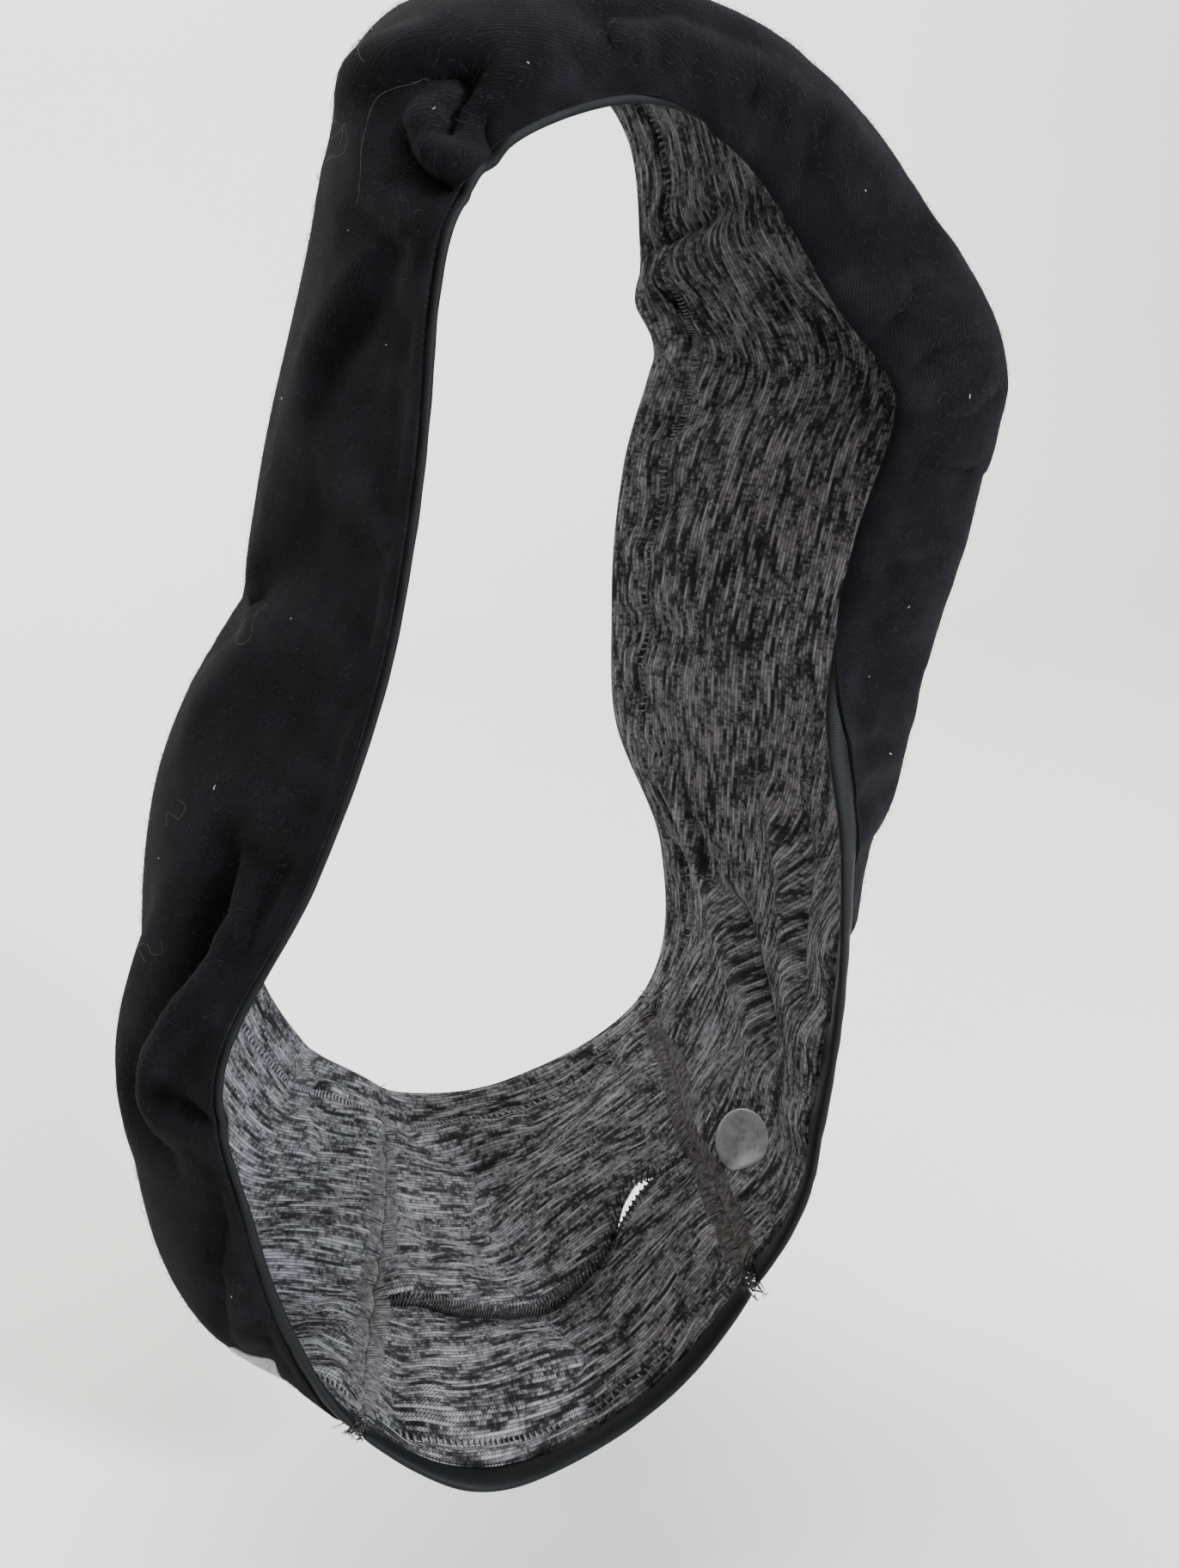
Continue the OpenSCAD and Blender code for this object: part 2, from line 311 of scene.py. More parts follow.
def thread_mesh(name, paths, up, radius, sides=6):
    """Round threads. paths and up are (threads, points, 3), and radius may vary along them."""
    threads, count = paths.shape[:2]
    tangent = unit(np.gradient(paths, axis=1))
    side = unit(np.cross(tangent, up))
    top = np.cross(side, tangent)
    angle = np.arange(sides) * 2 * math.pi / sides
    ring = np.cos(angle)[:, None] * side[:, :, None] + np.sin(angle)[:, None] * top[:, :, None]
    thick = np.broadcast_to(np.asarray(radius, float), (threads, count))
    points = paths[:, :, None] + ring * thick[..., None, None]
    a = (np.arange(count - 1)[:, None] * sides + np.arange(sides)).ravel()
    b = (np.arange(count - 1)[:, None] * sides + (np.arange(sides) + 1) % sides).ravel()
    walls = np.stack([a, b, b + sides, a + sides], 1)
    caps = np.stack([np.arange(sides)[::-1], (count - 1) * sides + np.arange(sides)])
    shift = (np.arange(threads) * count * sides)[:, None, None]
    return new_mesh(name, points.reshape(-1, 3),
                    [(walls + shift).reshape(-1, 4), (caps + shift).reshape(-1, sides)], closed=True)


# ---------- folds

# Each fold is a line of (u, v, height), with its reach to its left and to its
# right in mm, seen from outside and walking along it. A height below 0 is a
# valley.
FOLDS = [
    # along the top roll
    ([(23.6, 11, 0), (24.0, 12.5, -2.2), (24.5, 13, -1.6), (25.2, 12.5, -1.2), (26.0, 15, 0)], 3.0, 4.5),
    ([(23.7, 9, 0), (24.2, 9, 0.9), (25.0, 9.5, 0.9), (26.3, 14, 0.6), (26.9, 18, 0)], 3.0, 3.5),
    # the gathered knot where it is held
    ([(22.6, 19, 0), (22.75, 15.5, -3.0), (22.95, 11, -2.0), (23.1, 9, 0)], 2.0, 3.2),
    ([(22.95, 12, 0), (22.75, 9.5, -3.8), (22.5, 8, -4.4), (22.38, 6.5, 0)], 1.5, 1.5),
    ([(22.38, 14, 0), (22.22, 11, -4.2), (22.08, 7.5, -5.2), (22.1, 4, -4.0), (22.25, 2, 0)], 2.0, 2.0),
    ([(22.55, 14, 0), (22.35, 10.5, 2.8), (22.27, 6.5, 3.4), (22.35, 3, 1.8), (22.5, 1, 0)], 1.6, 1.6),
    ([(22.85, 6, 0), (22.7, 3.5, -2.0), (22.6, 1, -1.2)], 1.5, 1.5),
    ([(22.25, 33, 0), (22.5, 29, 2.4), (22.7, 21, 2.4), (22.85, 17, 0)], 4.0, 3.0),
    # left wall
    ([(21.5, 5, 0), (21.2, 10, -1.5), (20.8, 17, -2.4), (20.45, 23, -1.8), (20.0, 25, 0)], 4.5, 3.0),
    ([(21.4, 13, 0), (20.9, 21, 1.4), (20.4, 30, 1.0), (20.0, 34, 0)], 5.0, 4.0),
    ([(20.0, 22, 0), (19.6, 23, -1.0), (19.2, 30, -1.0), (18.8, 50, 0)], 5.0, 5.0),
    ([(21.5, 66, 0), (20.5, 66, -2.5), (19.5, 66, -2.5), (18.7, 68, 0)], 7.0, 7.0),
    # the S fold of the lower left
    ([(18.15, 18, 0), (17.85, 15.5, -2.5), (17.55, 13.5, -4.2), (17.26, 15, -5.4), (16.93, 21, -6.2),
      (16.66, 27, -5.8), (16.5, 29, -4.8), (16.42, 24, -3.6), (16.4, 17, -2.4), (16.38, 10, 0)], 2.3, 3.0),
    ([(18.0, 11, 0), (17.61, 8.5, 1.8), (17.35, 8.5, 2.8), (17.09, 11, 3.4), (16.79, 15, 3.4),
      (16.62, 13, 2.4), (16.59, 7, 0)], 3.0, 3.5),
    ([(17.85, 23, 0), (17.53, 25, 0.8), (17.18, 30, 1.5), (16.78, 36, 1.8), (16.45, 36, 1.4),
      (16.1, 32, 0)], 5.0, 4.0),
    ([(16.8, 9, 0), (16.74, 6, -1.2), (16.72, 2, -1.0)], 1.5, 1.5),
    ([(16.5, 3, 0), (16.2, 5, -1.2), (15.8, 9, -2.0), (15.3, 14, -1.4), (14.9, 16, 0)], 2.2, 2.8),
    # inside of the right wall, where the lining shows
    ([(2.7, 52, 0), (2.87, 62, -1.8), (2.94, 70, -2.3), (3.0, 80, -1.9), (3.2, 88, -1.0)], 3.4, 3.8),
    ([(2.6, 62, 0), (2.7, 71, 1.6), (2.75, 78, 1.8), (2.8, 86, 1.0)], 2.8, 2.8),
    ([(3.2, 90, -1.0), (3.5, 87, -1.8), (4.4, 83, -1.8), (5.3, 76, 0)], 2.0, 2.5),
    ([(3.0, 66, 0), (3.4, 65, -1.6), (4.2, 64, -1.6), (4.9, 63, 0)], 3.5, 4.5),
    ([(3.3, 74, 0), (4.0, 75, 1.4), (4.8, 72, 1.2), (5.4, 68, 0)], 3.5, 3.5),
    # drape folds that run down to the right seam
    ([(8.2, 76, 0), (8.6, 73, -1.6), (9.0, 65, -3.0), (9.25, 55, -3.6), (9.45, 42, -3.0),
      (9.6, 30, -1.4), (9.7, 22, 0)], 4.0, 3.0),
    ([(8.5, 71, 0), (8.9, 66, 1.6), (9.05, 56, 3.0), (9.3, 44, 3.2), (9.45, 34, 1.8),
      (9.58, 26, 0)], 2.6, 3.0),
    ([(8.1, 54, 0), (8.4, 48, -1.6), (8.63, 40, -2.4), (8.85, 33, -2.4), (9.05, 23, -1.6),
      (9.15, 14, 0)], 3.0, 2.5),
    ([(8.0, 47, 0), (8.3, 41, 1.6), (8.55, 35, 2.4), (8.8, 29, 2.2), (8.95, 22, 1.6),
      (9.05, 15, 0)], 2.5, 2.5),
    # the lobe that turns the lining's mark towards the near side
    ([(9.7, 44, 0), (9.9, 42, -2.6), (10.15, 40, -2.6), (10.35, 38, 0)], 12.0, 12.0),
    ([(9.6, 13, 0), (9.85, 12, 2.4), (10.15, 12, 2.4), (10.4, 12, 0)], 11.0, 11.0),
    # shoulder wrinkles
    ([(3.25, 11, 0), (3.35, 6, -0.8), (3.45, 1, -0.5)], 1.6, 1.6),
    ([(3.85, 9, 0), (3.95, 5, -0.8), (4.08, 1, -0.5)], 1.6, 1.6),
    ([(5.05, 14, 0), (4.95, 8, -0.9), (4.86, 2, -0.6)], 1.6, 1.6),
    ([(5.55, 17, 0), (5.45, 10, -0.9), (5.36, 4, -0.6)], 1.6, 1.6),
]


# Points worked out between two places on a fold's line
FOLD_STEPS = 24
# Stations past the ends of a fold's line where it may still lift the cloth
FOLD_MARGIN = 1.6


def add_fold(sheet, line, reach_left, reach_right):
    key = np.array(line, float)
    last = len(key) - 1
    t = np.linspace(0, last, FOLD_STEPS * last + 1)
    i = np.minimum(np.floor(t).astype(int), last - 1)
    path = catmull(*[key[np.clip(i + k, 0, last)] for k in (-1, 0, 1, 2)], (t - i)[:, None])
    spine = sheet.at(path[:, 0], path[:, 1])
    outward = sheet.normal(path[:, 0], path[:, 1])
    left = unit(np.cross(outward, np.gradient(spine, axis=0)))
    rows = len(sheet.points)
    first = int((path[:, 0].min() - FOLD_MARGIN) / STATIONS * rows)
    count = int((path[:, 0].max() + FOLD_MARGIN) / STATIONS * rows) - first
    index = (first + np.arange(count)) % rows
    block = sheet.points[index]
    offset = block[:, :, None] - spine[None, None]
    nearest = np.argmin((offset ** 2).sum(-1), -1)
    gap = np.take_along_axis(offset, nearest[..., None, None], 2)[:, :, 0]
    distance = np.linalg.norm(gap, axis=-1)
    on_left = (gap * left[nearest]).sum(-1) > 0
    reach = np.where(on_left, reach_left, reach_right)
    share = np.exp(-(distance / reach) ** 2)
    push = (path[:, 2][nearest] * share)[..., None]
    sheet.points[index] = block + push * sheet.normals[index]


# The simulated cloth is this many times life size, which suits the solver
SETTLE_SCALE = 10
SETTLE_ROWS = 288
SETTLE_COLUMNS = 37
SETTLE_FRAMES = 24
# Share by which the cloth is larger than the shape it hangs in
SPARE_CLOTH = 0.022
# The most that a point may move, in mm
MOST_SETTLING = 2.2
# Half of the strip that a cross seam holds still, in stations
HELD_AT_SEAM = 0.06
CLOTH_SETTINGS = {
    "quality": 6, "mass": 0.3, "tension_stiffness": 20, "compression_stiffness": 20, "shear_stiffness": 8,
    "bending_stiffness": 6, "air_damping": 3, "shrink_min": -SPARE_CLOTH, "vertex_group_mass": "held",
}


def settle(sheet):
    """Cloth simulation of the band between its elastic edges. The cloth is a little
    larger than the shape it hangs in, so it buckles into wrinkles where it is free.
    The hanging shape already holds the sag, so there is no gravity here."""
    rows, columns = SETTLE_ROWS, SETTLE_COLUMNS
    u, v = even_grid(rows, columns)
    start = sheet.at(u, v)
    faces = grid_faces(rows, columns, closed=True)
    cloth = new_mesh("settling", start.reshape(-1, 3) * SETTLE_SCALE, [faces])
    edge = np.zeros((rows, columns), bool)
    edge[:, (0, 1, -2, -1)] = True
    for seam in (RIGHT_SEAM, LEFT_SEAM):
        edge |= np.abs(u - seam_station(seam, v)) < HELD_AT_SEAM
    held = cloth.vertex_groups.new(name="held")
    held.add(np.flatnonzero(edge.ravel()).tolist(), 1.0, "REPLACE")
    modifier = cloth.modifiers.new("settling", "CLOTH")
    for key, value in CLOTH_SETTINGS.items():
        setattr(modifier.settings, key, value)
    modifier.settings.effector_weights.gravity = 0
    modifier.collision_settings.use_collision = False
    modifier.point_cache.frame_start = 1
    modifier.point_cache.frame_end = SETTLE_FRAMES
    scene = bpy.context.scene
    for frame_number in range(1, SETTLE_FRAMES + 1):
        scene.frame_set(frame_number)
    result = cloth.evaluated_get(bpy.context.evaluated_depsgraph_get()).to_mesh()
    place = np.empty(rows * columns * 3)
    result.vertices.foreach_get("co", place)
    scene.frame_set(1)
    bpy.data.objects.remove(cloth)
    move = place.reshape(rows, columns, 3) / (MM * SETTLE_SCALE) - start
    size = np.linalg.norm(move, axis=-1, keepdims=True)
    return move * np.minimum(1, MOST_SETTLING / np.maximum(size, 1e-6))


def folded_surface():
    sheet = loop_surface()
    for fold in FOLDS:
        add_fold(sheet, *fold)
    sheet.update()
    sheet.points += sample(settle(sheet), *even_grid(*sheet.points.shape[:2]))
    sheet.update()
    return sheet


band = folded_surface()

# Millimetres of cloth round the loop, counted from station 0, for the weave
_mean_step = np.linalg.norm(np.roll(band.points, -1, 0) - band.points, axis=-1).mean(1)
_length_to = np.concatenate([[0], np.cumsum(_mean_step)])


def cloth_length(u):
    turns = np.floor(np.asarray(u, float) / STATIONS)
    part = np.asarray(u, float) / STATIONS - turns
    return turns * _length_to[-1] + np.interp(part, np.linspace(0, 1, len(_length_to)), _length_to)


def beside(seam, d, turns=0):
    """Station at v of a line d mm clockwise of a seam."""
    def line(v):
        u = seam_station(seam, np.asarray(v, float))
        return u + turns * STATIONS + d / band.mm_per_station(u, v)
    return line


def between(start, end, f, v):
    """Station at the fraction f of the way from one line to another."""
    return start(v) * (1 - f) + end(v) * f


# A panel's first seam and last seam, each with the whole turns to add to it
FRONT = (LEFT_SEAM, 0, RIGHT_SEAM, 1)
BACK = (RIGHT_SEAM, 0, LEFT_SEAM, 0)


def panel_lines(panel, inset):
    """The lines across the band that a panel starts and ends at, inset mm from its seams."""
    first, turns, last, end_turns = panel
    return beside(first, inset, turns), beside(last, -inset, end_turns)


def panel_length(start, end, v):
    return float(cloth_length(end(v)) - cloth_length(start(v)))


def stitch_places(start, end, v, pitch, share=1.0):
    """Fractions of the way between two lines at which stitches sit, if only a share
    of that way is stitched."""
    count = int(panel_length(start, end, v) * share / pitch)
    return (np.arange(count)[:, None] + 0.5) / count


# ---------- thickness and puckers

# Wavelength in mm, height in mm and phase of the puckers along an elastic edge
PUCKERS = [(5.3, 0.10, 0.4), (7.1, 0.16, 2.1), (9.7, 0.20, 4.4), (13.9, 0.22, 1.3), (21.3, 0.25, 5.2)]
# How far the puckers reach into the cloth, and how far the far edge's are shifted
PUCKER_REACH = 9
PUCKER_SHIFT = 37.0
# Roughly the cloth between two stations, in mm
MM_PER_STATION = 23


def edge_distance(v):
    return np.minimum(v - FABRIC_V0, FABRIC_V1 - v)


def pucker(u, v, turn):
    """Height of the small gathers that the elastic pulls into the cloth beside it."""
    s = cloth_length(u) + np.where(v > BAND_W / 2, PUCKER_SHIFT, 0.0)
    wave = sum(height * np.sin(2 * math.pi * s / length + phase + turn)
               for length, height, phase in PUCKERS)
    e = edge_distance(v)
    return wave * smoothstep(e, 0.3, 3.0) * np.exp(-np.maximum(e, 0) / PUCKER_REACH)


def seam_gap(u, v):
    """Millimetres to the nearer cross seam."""
    gaps = []
    for seam in (RIGHT_SEAM, LEFT_SEAM):
        past = (u - seam_station(seam, v) + STATIONS / 2) % STATIONS - STATIONS / 2
        gaps.append(np.abs(past) * MM_PER_STATION)
    return np.minimum(*gaps)


# How far the outside cloth rolls over the near trim, as (station, share)
NEAR_ROLL = [
    (0, 0.32), (0.6, 0.36), (1.6, 1), (5.2, 1), (6.3, 0.55), (7.3, 0.12),
    (8.6, 0), (13.9, 0), (14.2, 0.20), (15.4, 0.26), (16.6, 0.36), (24, 0.32),
]
# How far the lining rolls over the far trim, all the way round
FAR_ROLL = 0.60
# The roll's section round the trim, as (mm of cloth, v, w), on its face and its back
ROLL_FACE = np.array([
    (0, 4.6, 1.3), (2.2, 2.4, 1.5), (4.2, 0.4, 1.35), (5.4, -0.55, 0.75), (6.2, -0.85, 0.0),
    (7.0, -0.6, -0.8), (8.2, 0.3, -1.35), (10.4, 2.5, -1.5), (11.6, 3.7, -1.3),
])
ROLL_BACK = np.array([
    (0, 4.6, 0.92), (2.2, 2.4, 0.98), (4.2, 0.5, 0.85), (5.4, -0.1, 0.45), (6.2, -0.25, 0.0),
    (7.0, -0.1, -0.5), (8.2, 0.5, -0.9), (10.4, 2.5, -1.0), (11.6, 3.5, -1.0),
])
ROLL_LENGTH = ROLL_FACE[-1, 0]
# The millimetres of cloth that turn at an edge that does not roll
LEAST_ROLL = 0.25
ROLL_COLUMNS = 13


def near_roll(u):
    return np.interp(np.asarray(u) % STATIONS, *np.array(NEAR_ROLL, float).T)


def far_roll(u):
    return np.full(np.shape(u), FAR_ROLL)


# Share of a roll at which the cloth lies fully over the trim
ROLL_START = 0.15
# Half of the gap between the layers, and how far a rolled edge lifts the cloth's back
HALF_GAP = 0.18
BACK_LIFT = 0.74
# Heights of the outside: its rim, how much a roll lifts the rim, and the hem
SHELL_RIM = 0.70
SHELL_ROLL_LIFT = 0.60
SHELL_HEM = 1.65
# Depths of the lining: a rim over a rolled hem, a furrow or a plain rim, hem and flat
LINING_ROLLED_RIM = 1.30
LINING_FURROW = 0.62
LINING_HEM = 1.75
LINING_FLAT = 1.67
# How deep a cross seam pulls the cloth in, on both sides
SEAM_DENT = 0.75


def bell(x, width):
    return np.exp(-(x / width) ** 2)


def shell_cover(u, v):
    """1 beside a near edge that is rolled over its trim, 0 elsewhere."""
    return smoothstep(near_roll(u), 0, ROLL_START) * (v < BAND_W / 2)


def shell_w(u, v):
    """Height of the band's outside."""
    e = edge_distance(v)
    rim = SHELL_RIM + SHELL_ROLL_LIFT * shell_cover(u, v)
    puff = (SHELL_HEM - rim) * smoothstep(e, 0, 4.5) + 0.35 * smoothstep(e, 5, 25)
    dent = 0.30 * bell(e - STITCH_INSET, 0.9) * (1 - shell_cover(u, v))
    return rim + puff - dent - SEAM_DENT * bell(seam_gap(u, v), 2.6) + pucker(u, v, 0)


def shell_back(u, v):
    return HALF_GAP + BACK_LIFT * shell_cover(u, v) * (1 - smoothstep(edge_distance(v), 0, 1.5))


def lining_w(u, v):
    """Depth of the lining's face: a padded hem, a stitched furrow, then the flat."""
    e = edge_distance(v)
    rim = np.where(v > BAND_W / 2, LINING_ROLLED_RIM, LINING_FURROW)
    flat = smoothstep(e, 3.6, 6.2)
    puff = (LINING_HEM - rim) * bell(e - 1.8, 1.35) + (LINING_FLAT - rim) * flat
    furrow = (rim - LINING_FURROW) * smoothstep(e, 1.8, 3.6) * (1 - flat)
    return -(rim + puff - furrow - SEAM_DENT * bell(seam_gap(u, v), 3.0)) + pucker(u, v, 1.9)


def lining_back(u, v):
    return -HALF_GAP - BACK_LIFT * (v > BAND_W / 2) * (1 - smoothstep(edge_distance(v), 0, 1.5))


# ---------- the ponytail slot

# Each lip as (fraction of the way from the right seam to the left, v)
UPPER_LIP = [
    (0, 40.2), (0.07, 40.6), (0.10, 42.6), (0.13, 43.8), (0.165, 41.8), (0.20, 38.6),
    (0.235, 36.0), (0.30, 34.6), (0.55, 32.8), (0.72, 33.8), (0.9, 35.6), (1, 36),
]
LOWER_LIP = [
    (0, 40.2), (0.07, 40.2), (0.10, 39.8), (0.13, 39.2), (0.165, 38.2), (0.20, 37.2),
    (0.235, 36.2), (0.30, 35.0), (0.55, 33.4), (0.72, 34.4), (0.9, 36.2), (1, 36.6),
]
LIP_OVERLAP = 0.6
# How far the two lips ride away from the middle surface where they lap, w in mm
LIP_SHIFT = {"upper": -1.5, "lower": 1.1}


def upper_lip(f):
    return spline(UPPER_LIP, f) - LIP_OVERLAP


def lower_lip(f):
    return spline(LOWER_LIP, f) + LIP_OVERLAP


def slot_fraction(u, v):
    first, last = seam_station(RIGHT_SEAM, v), seam_station(LEFT_SEAM, v)
    return np.clip((u - first) / (last - first), 0, 1)


def lip_distance(part, u, v):
    f = slot_fraction(u, v)
    return v - upper_lip(f) if part == "upper" else lower_lip(f) - v


def strip_shift(part, u, v):
    """The upper strip rides inwards over the lower one along the slot."""
    f = slot_fraction(u, v)
    free = smoothstep(f, 0.13, 0.30) * smoothstep(1 - f, 0.0, 0.1)
    near = bell(np.maximum(lip_distance(part, u, v), 0), 7)
    return LIP_SHIFT[part] * free * near


def strip_w(part, layer):
    """Height of one face of a back strip, thin at its lip."""
    base = shell_w if layer == "outer" else lining_w

    def height(u, v):
        d = np.maximum(lip_distance(part, u, v), 0)
        thin = 0.35 + 0.65 * smoothstep(d, 0, 4.5) + 0.12 * bell(d - 2.2, 1.0)
        return base(u, v) * thin + strip_shift(part, u, v)
    return height


def strip_back(part, layer):
    base = shell_back if layer == "outer" else lining_back
    return lambda u, v: base(u, v) * 0.7 + strip_shift(part, u, v)


# ---------- cloth panels


def at_v(value):
    return lambda f: np.full(np.shape(f), float(value))


def rolled_columns(amount, side):
    """v and w of the cloth that rolls round a trim, for its face and its back, and the
    millimetres of cloth to each column. side is 1 at the near edge, -1 at the far one."""
    s = np.maximum(amount * ROLL_LENGTH, LEAST_ROLL) * np.linspace(1, 0, ROLL_COLUMNS + 1)[None, :-1]
    low = 1 - (1 - SHELL_RIM / ROLL_FACE[0, 2]) * (1 - smoothstep(amount, 0, ROLL_START))
    places = []
    for section in (ROLL_FACE, ROLL_BACK):
        v, w = (np.interp(s, section[:, 0], section[:, k]) for k in (1, 2))
        places.append((BAND_W / 2 - side * (BAND_W / 2 - v), side * w * low))
    return places, s


CLOTH_INSET = 0.05


def cloth_slab(name, panel, v_low, v_high, face, back, step, near=None, far=None):
    """Cloth between two lines across the band. v_low and v_high give its edges at the
    fraction f along it, and face and back give w of its two sides at u, v. near and far
    are how much of its edge rolls round a trim, at u. step is the mesh's grain in mm."""
    start, end = panel_lines(panel, CLOTH_INSET)
    rows = int(panel_length(start, end, BAND_W / 2) / step) + 1
    columns = int((np.max(v_high(0.5)) - np.min(v_low(0.5))) / step) + 1
    f = np.linspace(0, 1, rows)[:, None]
    g = np.linspace(0, 1, columns)[None, :]
    v = v_low(f) * (1 - g) + v_high(f) * g
    u = between(start, end, f, v)
    sides = [(u, v, face(u, v)), (u, v, back(u, v))]
    across = v
    for roll, side in ((near, 1), (far, -1)):
        if roll is None:
            continue
        edge_u = u[:, :1] if side > 0 else u[:, -1:]
        places, s = rolled_columns(roll(edge_u), side)
        order = slice(None, None, side)
        along = np.broadcast_to(edge_u, s.shape)
        for k, (roll_v, roll_w) in enumerate(places):
            extra = [along, roll_v[:, order], roll_w[:, order]]
            sides[k] = [np.hstack([new, old][::side]) for new, old in zip(extra, sides[k])]
        turned = (v[:, :1] - s) if side > 0 else (v[:, -1:] + s)[:, ::-1]
        across = np.hstack([turned, across][::side])
    uv = np.stack([cloth_length(sides[0][0]), across], -1)
    return slab_mesh(name, band.at(*sides[0]), band.at(*sides[1]), uv)


# v and w of the elastic binding's section, from its outer edge
TRIM_TOP = [
    (0.12, 0.34), (0.45, 0.62), (1.1, 0.80), (2.0, 0.86), (2.9, 0.82), (3.7, 0.70), (4.3, 0.46), (4.5, 0.2),
]
TRIM_SECTION = np.array([(0.0, 0.0)] + TRIM_TOP + [(v, -w) for v, w in reversed(TRIM_TOP)])
TRIM_STEP = 0.7


def trim_mesh(name, panel, side):
    """Elastic binding along one edge. side is 1 near, -1 far."""
    start, end = panel_lines(panel, TRIM_STOP)
    edge = BAND_W / 2 - side * BAND_W / 2
    rows = int(panel_length(start, end, edge) / TRIM_STEP)
    columns = len(TRIM_SECTION)
    f = np.linspace(0, 1, rows)[:, None]
    v = edge + side * np.broadcast_to(TRIM_SECTION[:, 0], (rows, columns))
    u = between(start, end, f, v)
    swell = 1 + 0.06 * np.sin(cloth_length(u) / 3.1) + 0.05 * np.sin(cloth_length(u) / 1.27 + 1)
    ends = 0.55 + 0.45 * np.sqrt(np.clip(np.minimum(f, 1 - f) * rows / 3, 0, 1))
    points = band.at(u, v, TRIM_SECTION[:, 1] * swell * ends)
    ring = np.arange(columns)
    after = (ring + 1) % columns
    a = np.arange(rows - 1)[:, None] * columns
    walls = np.stack([a + ring, a + after, a + columns + after, a + columns + ring], -1)
    caps = np.stack([ring[::-1], (rows - 1) * columns + ring])
    uv = np.stack([cloth_length(u), np.broadcast_to(ring * 0.6, (rows, columns))], -1)
    faces = [walls.reshape(-1, 4), caps]
    return new_mesh(name, points.reshape(-1, 3), faces, uv.reshape(-1, 2), closed=True)


# ---------- stitching


def surface_threads(name, courses, radius, sides=5):
    """Threads that lie on the cloth. Each course is u, v and w of a set of threads."""
    paths = np.concatenate([band.at(u, v, w) for u, v, w in courses])
    ups = np.concatenate([band.normal(u, v) for u, v, w in courses])
    return thread_mesh(name, paths, ups, radius, sides)


def edge_topstitch(name, side):
    """Ladder of short threads across the furrow inside a hem, on the lining."""
    pitch, half, slant, radius = 1.15, 0.75, 0.012, 0.21
    middle = BAND_W / 2 - side * (BAND_W / 2 - FABRIC_V0 - STITCH_INSET)
    k = np.linspace(-1, 1, 7)[None, :]
    v = middle + half * k
    courses = []
    for panel in (FRONT, BACK):
        start, end = panel_lines(panel, SEAM_W / 2 + 0.4)
        f = stitch_places(start, end, middle, pitch)
        u = between(start, end, f, v) + slant * k
        cloth = np.minimum(lining_w(u, np.full_like(u, middle)), -LINING_FURROW + 0.02)
        courses.append((u, v, cloth - 0.30 + 0.36 * k ** 4))
    return surface_threads(name, courses, radius)


def cover_stitch(name, seam):
    """Two rows of looper threads side by side, over the seam on the lining."""
    pitch, half_row, overlap, slant, radius = 0.50, SEAM_W * 0.34, 1.03, 0.55, 0.23
    v_centre = np.arange(FABRIC_V0 + 0.6, FABRIC_V1 - 0.4, pitch)[:, None]
    rise = 0.42 * np.where(np.abs(v_centre - SLOT_V) < 1.2, 0.9, 1.0)
    k = np.linspace(-1, 1, 9)[None, :]
    courses = []
    for row in (-1, 1):
        v = v_centre + row * slant * k + 0.12 * np.sin(v_centre * 9.1)
        u = beside(seam, (row + k * overlap) * half_row)(v)
        w = lining_w(beside(seam, 0)(v), v) - 0.02 - rise * (1 - k ** 2) ** 0.5
        courses.append((u, v, w))
    return surface_threads(name, courses, radius)


def needle_rows(name, seam):
    """Two rows of straight stitches on the outside of a seam."""
    pitch, length, inset, radius = 2.7, 2.2, 0.4, 0.21
    k = np.linspace(-1, 1, 7)[None, :]
    v = np.arange(FABRIC_V0 + 1.2, FABRIC_V1 - 1.0, pitch)[:, None] + k * length / 2
    paths, ups = [], []
    for d in (inset - SEAM_W / 2, SEAM_W / 2 - inset):
        u = beside(seam, d)(v)
        paths.append(band.at(u, v, shell_w(u, v) + 0.16 - 0.55 * k ** 6))
        ups.append(np.cross(band.normal(u, v), unit(np.gradient(paths[-1], axis=1))))
    return thread_mesh(name, np.concatenate(paths), np.concatenate(ups), radius)


def slot_overlock(name, part):
    """Loops of thread wrapped round a lip of the slot."""
    pitch, reach_in, stand_off, slant, radius = 0.70, 1.15, 0.12, 0.022, 0.17
    wrap = 0.42  # share of a loop's half that goes round the lip's edge
    start, end = panel_lines(BACK, SEAM_W / 2 - 0.6)
    lip, side = (upper_lip, 1) if part == "upper" else (lower_lip, -1)
    f = stitch_places(start, end, SLOT_V, pitch)
    angle = np.linspace(-1, 1, 13)[None, :]
    size = np.abs(angle)
    reach = np.where(size > wrap, (size - wrap) / (1 - wrap) * reach_in, 0.0)
    v = lip(f) + side * (reach - 0.35 * np.cos(angle * math.pi / (2 * wrap)) * (size < wrap))
    u = between(start, end, f, v) + angle * slant
    middle = strip_shift(part, u, v)
    turn = np.clip(angle / wrap, -1, 1)
    outer = strip_w(part, "outer")(u, v) + stand_off
    inner = strip_w(part, "inner")(u, v) - stand_off
    w = middle + (np.where(turn > 0, outer, inner) - middle) * np.abs(turn)
    loops = band.at(u, v, w)
    return thread_mesh(name, loops, unit(band.at(u + 0.01, v, w) - loops), radius, 5)


def lip_topstitch(name):
    """Ladder of threads that holds the turned edge of the slot's upper lip."""
    pitch, half, slant, radius = 0.85, 0.7, 0.008, 0.17
    start, end = panel_lines(BACK, SEAM_W / 2 + 1.0)
    f = 0.26 + 0.72 * stitch_places(start, end, SLOT_V, pitch, share=0.74)
    k = np.linspace(-1, 1, 7)[None, :]
    v = upper_lip(f) + 0.9 + half * k
    u = between(start, end, f, v) + slant * k
    w = strip_w("upper", "inner")(u, v) - 0.10 + 0.22 * k ** 4
    return surface_threads(name, [(u, v, w)], radius)


